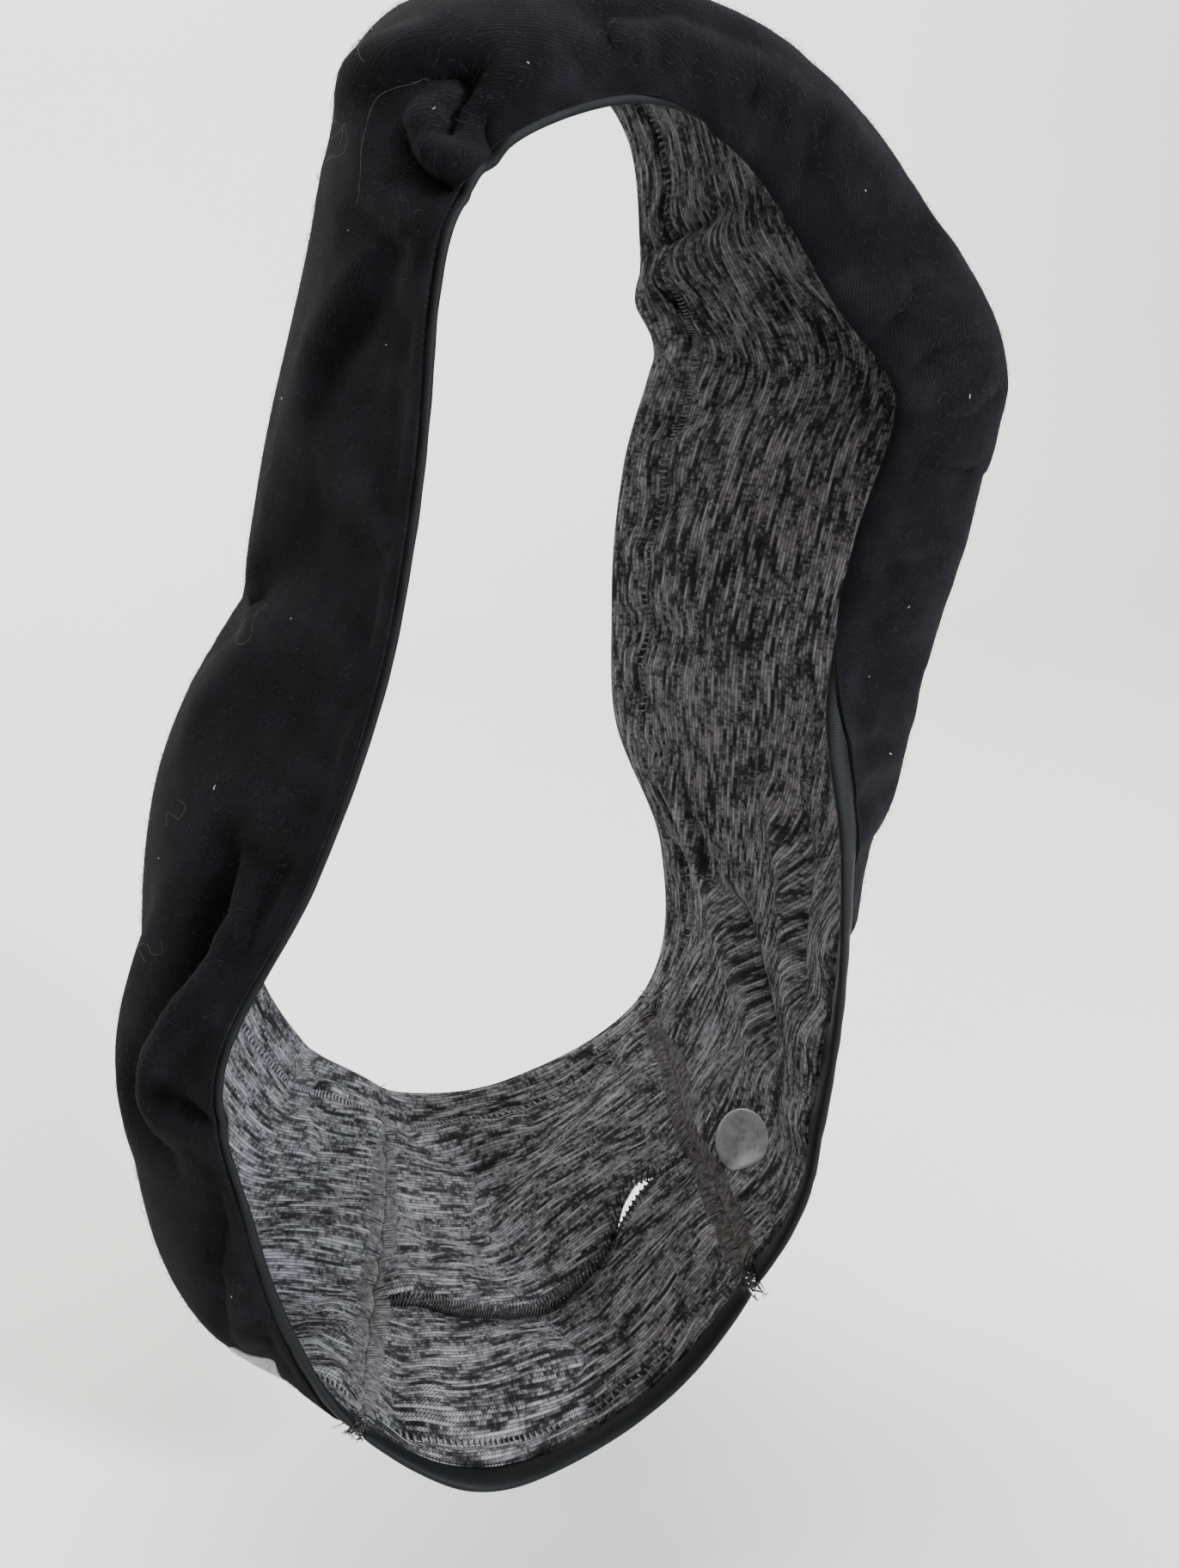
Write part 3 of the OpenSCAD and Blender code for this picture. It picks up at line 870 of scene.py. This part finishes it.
def frayed_ends(name):
    """Cut thread ends where the bindings stop at the seams."""
    ends_a_tuft = 140
    thickness = np.linspace(0.13, 0.05, 7)
    t = np.linspace(0, 1, len(thickness))
    rng = np.random.default_rng(11)
    paths, ups = [], []
    for seam in (RIGHT_SEAM, LEFT_SEAM):
        for edge, side in ((0, 1), (BAND_W, -1)):
            for _ in range(ends_a_tuft):
                base_d = rng.uniform(-1.5, 1.5)
                base_v = edge + side * rng.uniform(0.3, 5.0)
                reach = rng.uniform(0.5, 1.9)
                away = np.array([rng.normal(0, 0.55), -side * rng.uniform(-0.3, 0.8), rng.normal(0, 0.7)])
                curl = rng.normal(0, 0.9, 3)
                d = base_d + away[0] * reach * t + curl[0] * np.sin(2.6 * t) * 0.5
                v = base_v + away[1] * reach * t + curl[1] * np.sin(3.1 * t) * 0.4
                w = rng.uniform(-0.9, 0.9) + away[2] * reach * t + curl[2] * np.sin(2.2 * t) * 0.5
                u = beside(seam, d)(np.clip(v, 0, BAND_W))
                paths.append(band.at(u, v, w))
                ups.append(band.normal(u, v))
    return thread_mesh(name, np.array(paths), np.array(ups) + 0.01, thickness, 5)


# ---------- marks, nap and lint


def disc_mesh(name, place, face, side):
    """Thin round film that follows the cloth. side is 1 outside, -1 on the lining."""
    rings, spokes, thickness, sunk = 12, 64, 0.26, 0.10
    share = np.linspace(0, 1, rings + 1)[1:]
    radius = share[:, None] * MARK_D / 2
    angle = np.arange(spokes)[None, :] * 2 * math.pi / spokes
    u0, v0 = place
    across_u = radius * np.cos(angle) / band.mm_per_station(np.array(u0), np.array(v0))
    u = u0 + np.append(0, across_u)
    v = v0 + np.append(0, radius * np.sin(angle))
    # The film thins towards its rim, has a groove inside it and a dimple in the middle
    at = np.append(1.0, np.repeat(share, spokes))
    film = thickness - 0.14 * at ** 8 - 0.05 * bell(at - 0.82, 0.05)
    base = face(u, v)
    top = band.at(u, v, base + side * film)
    bottom = band.at(u, v, base - side * sunk)
    ring = np.arange(spokes)
    after = (ring + 1) % spokes
    count = len(u)
    hub = np.stack([np.zeros(spokes, int), 1 + ring, 1 + after], 1)
    starts = 1 + np.arange(rings)[:, None] * spokes
    inner, outer = starts[:-1], starts[1:]
    rounds = np.stack([inner + ring, outer + ring, outer + after, inner + after], -1).reshape(-1, 4)
    last = starts[-1]
    rim = np.stack([last + ring, count + last + ring, count + last + after, last + after], 1)
    faces = [
        np.concatenate([hub, hub[:, ::-1] + count]),
        np.concatenate([rounds, rounds[:, ::-1] + count, rim]),
    ]
    return new_mesh(name, np.concatenate([top, bottom]), faces, closed=True)


def nap_mesh(name, panel, face, side, count, seed, length, height):
    """Short loose fibres that stand off the cloth."""
    rng = np.random.default_rng(seed)
    start, end = panel_lines(panel, 1.0)
    f = rng.uniform(0, 1, (count, 1))
    v = rng.uniform(FABRIC_V0, FABRIC_V1, (count, 1))
    u = between(start, end, f, v)
    heading = rng.uniform(0, 2 * math.pi, (count, 1))
    long = rng.uniform(0.5, 1.0, (count, 1)) * length
    bend = rng.normal(0, 0.5, (count, 1))
    t = np.linspace(0, 1, 3)[None, :]
    du = np.cos(heading + bend * t) * long * t / band.mm_per_station(u, v)
    dv = np.sin(heading + bend * t) * long * t
    lift = rng.uniform(0.3, 1.0, (count, 1)) * height * np.sin(t * 1.9)
    w = face(u, v) + side * (lift - 0.05)
    paths = band.at(u + du, np.clip(v + dv, 0.5, BAND_W - 0.5), w)
    ups = np.broadcast_to(band.normal(u, v), paths.shape) + 0.01
    return thread_mesh(name, paths, ups, np.array([0.030, 0.026, 0.008]), 3)


# Long stray hairs caught on the outside: u, v, heading in degrees, length in mm, curl
HAIRS = [
    (22.0, 24, 80, 22, 1.3), (21.8, 30, 110, 16, -1.6), (21.6, 18, 95, 18, 0.9), (21.9, 36, 60, 13, 1.9),
    (19.6, 44, 100, 26, 0.8), (19.2, 52, 75, 20, -1.2), (18.9, 38, 120, 15, 1.5), (18.6, 58, 90, 17, 0.7),
    (17.9, 30, 40, 12, 2.0), (17.6, 42, 150, 14, -1.4), (17.3, 24, 70, 11, 1.6), (16.7, 44, 100, 16, 1.1),
    (16.2, 50, 60, 12, -1.8), (15.6, 36, 130, 10, 1.7), (5.0, 44, 80, 18, 1.0), (6.4, 60, 100, 14, -1.5),
    (3.4, 30, 60, 13, 1.2), (8.2, 40, 95, 20, 0.9), (1.2, 40, 20, 15, 1.4), (23.4, 50, 170, 12, -1.1),
]


def hair_mesh(name):
    keep_in = 7
    t = np.linspace(0, 1, 28)
    courses = []
    for u0, v0, heading, length, curl in HAIRS:
        turn = math.radians(heading) + curl * (np.sin(5.5 * t + u0) + 0.6 * t)
        step = length / (len(t) - 1)
        mm = float(band.mm_per_station(np.array(u0), np.array(float(v0))))
        u = u0 + np.cumsum(np.sin(turn)) * step / mm
        v = np.clip(v0 + np.cumsum(np.cos(turn)) * step, keep_in, BAND_W - keep_in)
        w = shell_w(u, v) + 0.25 + 0.55 * np.sin(t * 9 + v0) ** 2
        courses.append((u[None], v[None], w[None]))
    return surface_threads(name, courses, 0.020)


def speck_mesh(name):
    """Bits of lint on the outside of the front."""
    count, margin = 70, 2
    rng = np.random.default_rng(5)
    start, end = panel_lines(FRONT, 3.0)
    v = rng.uniform(FABRIC_V0 + margin, FABRIC_V1 - margin, (count, 1))
    u = between(start, end, rng.uniform(0, 1, (count, 1)), v)
    t = np.linspace(0, 1, 5)[None, :]
    heading = rng.uniform(0, 2 * math.pi, (count, 1))
    length = rng.uniform(0.2, 0.6, (count, 1))
    along = u + np.cos(heading + t) * length * t / band.mm_per_station(u, v)
    across = v + np.sin(heading + t) * length * t
    course = (along, across, shell_w(along, across) + 0.08)
    return surface_threads(name, [course], rng.uniform(0.03, 0.07, (count, 1)))


# ---------- materials


def new_material(name, **values):
    """A material with one Principled shader, and the values that are the same all over it."""
    material = bpy.data.materials.new(name)
    material.use_nodes = True
    tree = material.node_tree
    tree.nodes.clear()
    shader = tree.nodes.new("ShaderNodeBsdfPrincipled")
    output = tree.nodes.new("ShaderNodeOutputMaterial")
    tree.links.new(shader.outputs[0], output.inputs[0])
    for key, value in values.items():
        shader.inputs[key.replace("_", " ")].default_value = value
    return material, tree, shader


def node(tree, kind, inputs=None, **settings):
    """A shader node; inputs maps a socket's name or number to a value or an output."""
    n = tree.nodes.new("ShaderNode" + kind)
    for key, value in settings.items():
        setattr(n, key, value)
    for key, value in (inputs or {}).items():
        if isinstance(value, bpy.types.NodeSocket):
            tree.links.new(value, n.inputs[key])
        else:
            n.inputs[key].default_value = value
    return n


class Field:
    """A number that varies over a surface, so that formulas read as formulas."""

    def __init__(self, tree, socket):
        self.tree, self.socket = tree, socket

    def math(self, operation, other=0.0):
        value = other.socket if isinstance(other, Field) else other
        result = node(self.tree, "Math", {0: self.socket, 1: value}, operation=operation)
        return Field(self.tree, result.outputs[0])

    def __add__(self, other):
        return self.math("ADD", other)

    def __sub__(self, other):
        return self.math("SUBTRACT", other)

    def __mul__(self, other):
        return self.math("MULTIPLY", other)

    def floor(self):
        return self.math("FLOOR")

    def sine(self):
        return self.math("SINE")


def cloth_axes(tree):
    """Millimetres along and across the cloth."""
    uv = node(tree, "UVMap", uv_map="cloth_mm")
    parts = node(tree, "SeparateXYZ", {0: uv.outputs[0]})
    return Field(tree, parts.outputs[0]), Field(tree, parts.outputs[1])


def noise(x, y=None, detail=2.0, roughness=0.5):
    """Smooth noise of about one wave per unit, on a line or a plane."""
    settings = {"Scale": 1.0, "Detail": detail, "Roughness": roughness}
    if y is None:
        n = node(x.tree, "TexNoise", {"W": x.socket, **settings}, noise_dimensions="1D")
    else:
        place = node(x.tree, "CombineXYZ", {0: x.socket, 1: y.socket})
        n = node(x.tree, "TexNoise", {"Vector": place.outputs[0], **settings}, noise_dimensions="2D")
    return Field(x.tree, n.outputs[0])


def cell_noise(x, y):
    """A random number for each whole step of x and y."""
    place = node(x.tree, "CombineXYZ", {0: x.floor().socket, 1: y.floor().socket})
    n = node(x.tree, "TexWhiteNoise", {"Vector": place.outputs[0]}, noise_dimensions="2D")
    return Field(x.tree, n.outputs[0])


def body_noise(tree, scale, detail=2.0, roughness=0.5):
    """Smooth noise in space, of about scale waves a metre."""
    place = node(tree, "TexCoord").outputs["Object"]
    settings = {"Scale": scale, "Detail": detail, "Roughness": roughness}
    return Field(tree, node(tree, "TexNoise", {"Vector": place, **settings}).outputs[0])


def ramp(field, stops):
    n = node(field.tree, "ValToRGB", {0: field.socket})
    while len(n.color_ramp.elements) < len(stops):
        n.color_ramp.elements.new(0.5)
    for element, (place, colour) in zip(n.color_ramp.elements, stops):
        element.position = place
        element.color = (*colour, 1)
    return n.outputs[0]


def multiply(colour, field):
    inputs = {0: 1.0, 6: colour, 7: field.socket}
    return node(field.tree, "Mix", inputs, data_type="RGBA", blend_type="MULTIPLY").outputs[2]


def connect(shader, colour, height, distance, strength=1.0, roughness=None):
    """Give a shader its colour and its bump, of distance metres at a height of 1."""
    tree = height.tree
    bump = node(tree, "Bump", {"Strength": strength, "Distance": distance, "Height": height.socket})
    tree.links.new(colour, shader.inputs["Base Color"])
    tree.links.new(bump.outputs[0], shader.inputs["Normal"])
    if roughness is not None:
        tree.links.new(roughness.socket, shader.inputs["Roughness"])


def heather_material(name="heather_knit"):
    """Space-dyed knit: ribs along the band, each a string of black, grey and pale lengths, with painted
    shade in the grooves between ribs and between stitches.
    """
    material, tree, shader = new_material(
        name, Roughness=0.9, Sheen_Weight=0.04, Sheen_Roughness=0.5, Specular_IOR_Level=0.12)
    along, across = cloth_axes(tree)
    wander = (noise(along * 0.035, across * 0.035, 0.0) - 0.5) * 3.2
    across = across + wander + (noise(along * 2.4, across * 2.4, 1.0) - 0.5) * 0.10
    rib, course = 0.66, 0.46  # mm from rib to rib, and from stitch to stitch along one
    row = (across * (1 / rib)).floor()
    in_row = (across * (1 / rib)).math("FRACT")
    dashes = noise(along * 0.11 + row * 17.31, detail=3.0, roughness=0.62)
    groups = noise(along * 0.03, across * 0.25, 2.0, 0.6)
    uneven = noise(along * 1.7, across * 1.7, 1.0) * 0.6
    stitch = cell_noise((along + uneven) * (1 / course), across * (1 / rib))
    tone = dashes * 0.66 + groups * 0.18 + stitch * 0.10 + 0.041
    colour = ramp(tone, [
        (0.39, (0.003, 0.003, 0.004)), (0.455, (0.023, 0.022, 0.024)), (0.50, (0.084, 0.081, 0.086)),
        (0.56, (0.165, 0.160, 0.170)), (0.66, (0.280, 0.272, 0.292)),
    ])
    crest = (in_row * math.pi).sine()
    bead = ((along + (in_row - 0.5).math("ABSOLUTE") * 0.7) * (2 * math.pi / course)).sine()
    fibres = noise(along * 4.0, across * 6.0, 3.0, 0.75)
    # painted shade: the colour is darkened in the grooves between ribs (crest) and between stitch loops
    # (bead); fibres add random tone
    shade = crest * 0.80 + bead * 0.20 + fibres * 1.1 - 0.08
    height = crest * 0.8 + bead * 0.5 + fibres * 1.2
    connect(shader, multiply(colour, shade), height, distance=0.0003, strength=0.9)
    return material


def shell_material(name="brushed_knit"):
    """Brushed fine twill, near black, with a soft bloom."""
    material, tree, shader = new_material(
        name, Roughness=0.95, Specular_IOR_Level=0.07, Sheen_Weight=0.015, Sheen_Roughness=0.4,
        Sheen_Tint=(0.8, 0.78, 0.9, 1))
    along, across = cloth_axes(tree)
    patches = noise(along * 0.09, across * 0.09, 4.0, 0.6)
    nap = noise(along * 2.4, across * 4.6, 4.0, 0.75)
    colour = ramp(patches * 0.5 + nap * 0.5, [
        (0.33, (0.0012, 0.0010, 0.0015)), (0.52, (0.0036, 0.0031, 0.0045)),
        (0.72, (0.0120, 0.0105, 0.0150)),
    ])
    twill_pitch, twill_slope = 0.62, 0.55
    twill = ((across + along * twill_slope) * (2 * math.pi / twill_pitch)).sine()
    connect(shader, colour, twill * 0.12 + nap, distance=0.0003)
    return material


def trim_material(name="elastic_trim"):
    """Smooth dark elastic with fine ribs across it."""
    material, tree, shader = new_material(name, Specular_IOR_Level=0.13)
    along, across = cloth_axes(tree)
    grain = noise(along * 2.5, across * 5.0, 3.0, 0.6)
    wear = noise(along * 0.12, across * 0.5, 3.0)
    tone = grain * 0.4 + wear * 0.6
    colour = ramp(tone, [(0.3, (0.0018, 0.0022, 0.0024)), (0.7, (0.0040, 0.0048, 0.0052))])
    rib_pitch = 0.45
    rib = (along * (2 * math.pi / rib_pitch)).sine()
    height = rib * 0.22 + grain
    connect(shader, colour, height, distance=0.0001, strength=0.4, roughness=grain * 0.25 + 0.48)
    return material


def thread_material(name, dark, light):
    material, tree, shader = new_material(name, Roughness=0.85, Specular_IOR_Level=0.3)
    colour = ramp(body_noise(tree, 900.0, 3.0, 0.7), [(0.35, dark), (0.65, light)])
    connect(shader, colour, body_noise(tree, 3500.0), distance=0.0001, strength=0.5)
    return material


def film_material(name="transfer_film"):
    """Silver film, worn a little by use."""
    material, tree, shader = new_material(name, Metallic=0.25)
    wear = body_noise(tree, 420.0, 5.0, 0.7)
    colour = ramp(wear, [
        (0.34, (0.09, 0.09, 0.094)), (0.44, (0.145, 0.147, 0.151)), (0.7, (0.205, 0.208, 0.215)),
    ])
    grain = body_noise(tree, 1300.0, 3.0)
    connect(shader, colour, grain, distance=0.00012, strength=0.6, roughness=wear * 0.4 + 0.25)
    return material


HEATHER = heather_material()
SHELL = shell_material()
TRIM = trim_material()
SEAM_THREAD = thread_material("seam_thread", (0.018, 0.017, 0.017), (0.105, 0.101, 0.100))
LADDER_THREAD = thread_material("ladder_thread", (0.030, 0.029, 0.033), (0.19, 0.186, 0.20))
DARK_THREAD = thread_material("dark_thread", (0.004, 0.004, 0.0045), (0.014, 0.014, 0.016))
LIP_THREAD = thread_material("lip_thread", (0.004, 0.004, 0.005), (0.026, 0.025, 0.027))
FRAY_THREAD = thread_material("fray_thread", (0.005, 0.005, 0.006), (0.036, 0.035, 0.035))
NAP_FIBRE = thread_material("nap_fibre", (0.004, 0.0035, 0.005), (0.022, 0.020, 0.027))
KNIT_FIBRE = thread_material("knit_fibre", (0.10, 0.10, 0.11), (0.40, 0.39, 0.42))
HAIR = thread_material("stray_hair", (0.05, 0.045, 0.04), (0.15, 0.136, 0.122))
SPECK = thread_material("lint_speck", (0.30, 0.30, 0.32), (0.70, 0.70, 0.72))
FILM = film_material()


def piece(obj, material, slot, *nodes):
    """Give a piece its looks and its place in the frame, and hide the CAD nodes it stands for."""
    obj.data.materials.append(material)
    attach(obj, BODY)
    if nodes:
        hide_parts(*nodes)
    return obj


# ---------- pieces

whole_width = at_v(FABRIC_V0), at_v(FABRIC_V1)
FRONT_GRAIN = 1.0
BACK_GRAIN = 0.6

shell = piece(
    cloth_slab("front_shell_cloth", FRONT, *whole_width, shell_w, shell_back, FRONT_GRAIN, near=near_roll),
    SHELL, "brushed_knit", "front_shell")
lining = piece(
    cloth_slab("front_lining_cloth", FRONT, *whole_width, lining_w, lining_back, FRONT_GRAIN, far=far_roll),
    HEATHER, "heather_knit", "front_lining")

strips = {}
for part, low, high in (("upper", upper_lip, at_v(FABRIC_V1)), ("lower", at_v(FABRIC_V0), lower_lip)):
    for layer in ("outer", "inner"):
        face, back = strip_w(part, layer), strip_back(part, layer)
        rolled = far_roll if (part, layer) == ("upper", "inner") else None
        node_name = f"back_{part}_strip_{layer}"
        cloth = cloth_slab(node_name + "_cloth", BACK, low, high, face, back, BACK_GRAIN, far=rolled)
        strips[part, layer] = piece(cloth, HEATHER, "heather_knit", node_name)
    node_name = f"{part}_slot_overlock"
    piece(slot_overlock(node_name + "_thread", part), LIP_THREAD, "dark_thread", node_name)

for edge, side in (("near", 1), ("far", -1)):
    for where, panel in (("front", FRONT), ("back", BACK)):
        node_name = f"{edge}_trim_{where}"
        piece(trim_mesh(node_name + "_binding", panel, side), TRIM, "elastic_trim", node_name)
    node_name = f"{edge}_edge_topstitch"
    piece(edge_topstitch(node_name + "_thread", side), LADDER_THREAD, "seam_thread", node_name)

piece(lip_topstitch("slot_lip_topstitch_thread"), SEAM_THREAD, "seam_thread")

for where, seam in (("right", RIGHT_SEAM), ("left", LEFT_SEAM)):
    looper = cover_stitch(f"{where}_seam_looper_thread", seam)
    piece(looper, SEAM_THREAD, "seam_thread", f"{where}_seam_coverstitch")
    needle = needle_rows(f"{where}_seam_needle_thread", seam)
    piece(needle, DARK_THREAD, "dark_thread", f"{where}_seam_needle_rows")

piece(disc_mesh("lining_mark_film", LINING_MARK_AT, lining_w, -1), FILM, "transfer_film", "lining_mark_disc")
piece(disc_mesh("shell_mark_film", SHELL_MARK_AT, shell_w, 1), FILM, "transfer_film", "shell_mark_disc")
piece(frayed_ends("frayed_seam_threads"), FRAY_THREAD, "seam_thread", "frayed_seam_ends")
piece(nap_mesh("shell_nap", FRONT, shell_w, 1, count=14000, seed=3, length=1.3, height=0.75),
      NAP_FIBRE, "brushed_knit")
piece(nap_mesh("lining_nap", FRONT, lining_w, -1, count=9000, seed=4, length=0.9, height=0.4),
      KNIT_FIBRE, "heather_knit")
piece(hair_mesh("stray_hairs"), HAIR, "seam_thread")
piece(speck_mesh("lint_specks"), SPECK, "seam_thread")

# ---------- floor and light

# Metres below the band, half of the floor's width, its front edge, the wall behind, the
# wall's height and the radius of the bend between the two
FLOOR_DROP = 0.03
FLOOR_HALF_WIDTH = 1.6
FLOOR_FRONT = -1.2
WALL_Y = 0.75
WALL_HEIGHT = 1.6
BEND = 0.25

# Name, place and aim in metres, size in metres, power in watts and colour
LIGHTS = [
    ("key", (0.57, -0.905, 0.18), CAMERA_TARGET, 0.15, 32.0, (0.87, 0.93, 1.0)),
    ("fill", (-0.55, -0.85, 0.45), CAMERA_TARGET, 0.6, 6.5, (1.0, 0.91, 0.84)),
    ("behind", (-0.35, 0.45, 0.45), CAMERA_TARGET, 0.5, 5.0, (0.9, 0.94, 1.0)),
    ("backdrop", (0.0, 0.15, 0.75), (0.0, 0.75, 0.1), 0.8, 16.0, (1.0, 0.98, 0.95)),
]
SKY_COLOUR = (1.0, 0.98, 0.95, 1)
SKY_STRENGTH = 0.20


def add_stage():
    floor_z = CAD_BOX[0][2] - FLOOR_DROP
    turn = np.linspace(0, math.pi / 2, 13)[1:]
    profile = [(FLOOR_FRONT, 0.0), (WALL_Y - BEND, 0.0)]
    profile += [(WALL_Y - BEND + BEND * math.sin(a), BEND - BEND * math.cos(a)) for a in turn]
    profile += [(WALL_Y, WALL_HEIGHT)]
    points = [
        (x / MM, y / MM, (z + floor_z) / MM)
        for y, z in profile for x in (-FLOOR_HALF_WIDTH, FLOOR_HALF_WIDTH)
    ]
    faces = [(2 * i, 2 * i + 1, 2 * i + 3, 2 * i + 2) for i in range(len(profile) - 1)]
    floor = new_mesh("floor", points, [faces])
    material, tree, shader = new_material("pale_floor", Roughness=0.85)
    tone = body_noise(tree, 3.0, 3.0)
    colour = ramp(tone, [(0.3, (0.76, 0.75, 0.73)), (0.7, (0.80, 0.79, 0.77))])
    connect(shader, colour, tone, distance=0.0001)
    floor.data.materials.append(material)


def area_light(name, place, target, size, power, colour):
    light = bpy.data.objects.new(name, bpy.data.lights.new(name, "AREA"))
    light.data.shape = "DISK"
    light.data.size = size
    light.data.energy = power
    light.data.color = colour
    light.location = place
    light.rotation_euler = (Vector(place) - Vector(target)).to_track_quat("Z", "Y").to_euler()
    bpy.context.scene.collection.objects.link(light)


def add_sky():
    world = bpy.data.worlds.new("world")
    bpy.context.scene.world = world
    world.use_nodes = True
    sky = world.node_tree.nodes["Background"]
    sky.inputs[0].default_value = SKY_COLOUR
    sky.inputs[1].default_value = SKY_STRENGTH


add_stage()
for light in LIGHTS:
    area_light(*light)
add_sky()

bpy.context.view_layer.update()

for (part, _), strip in strips.items():
    (0.049, 0.067) if part == "upper" else (0.032, 0.078)
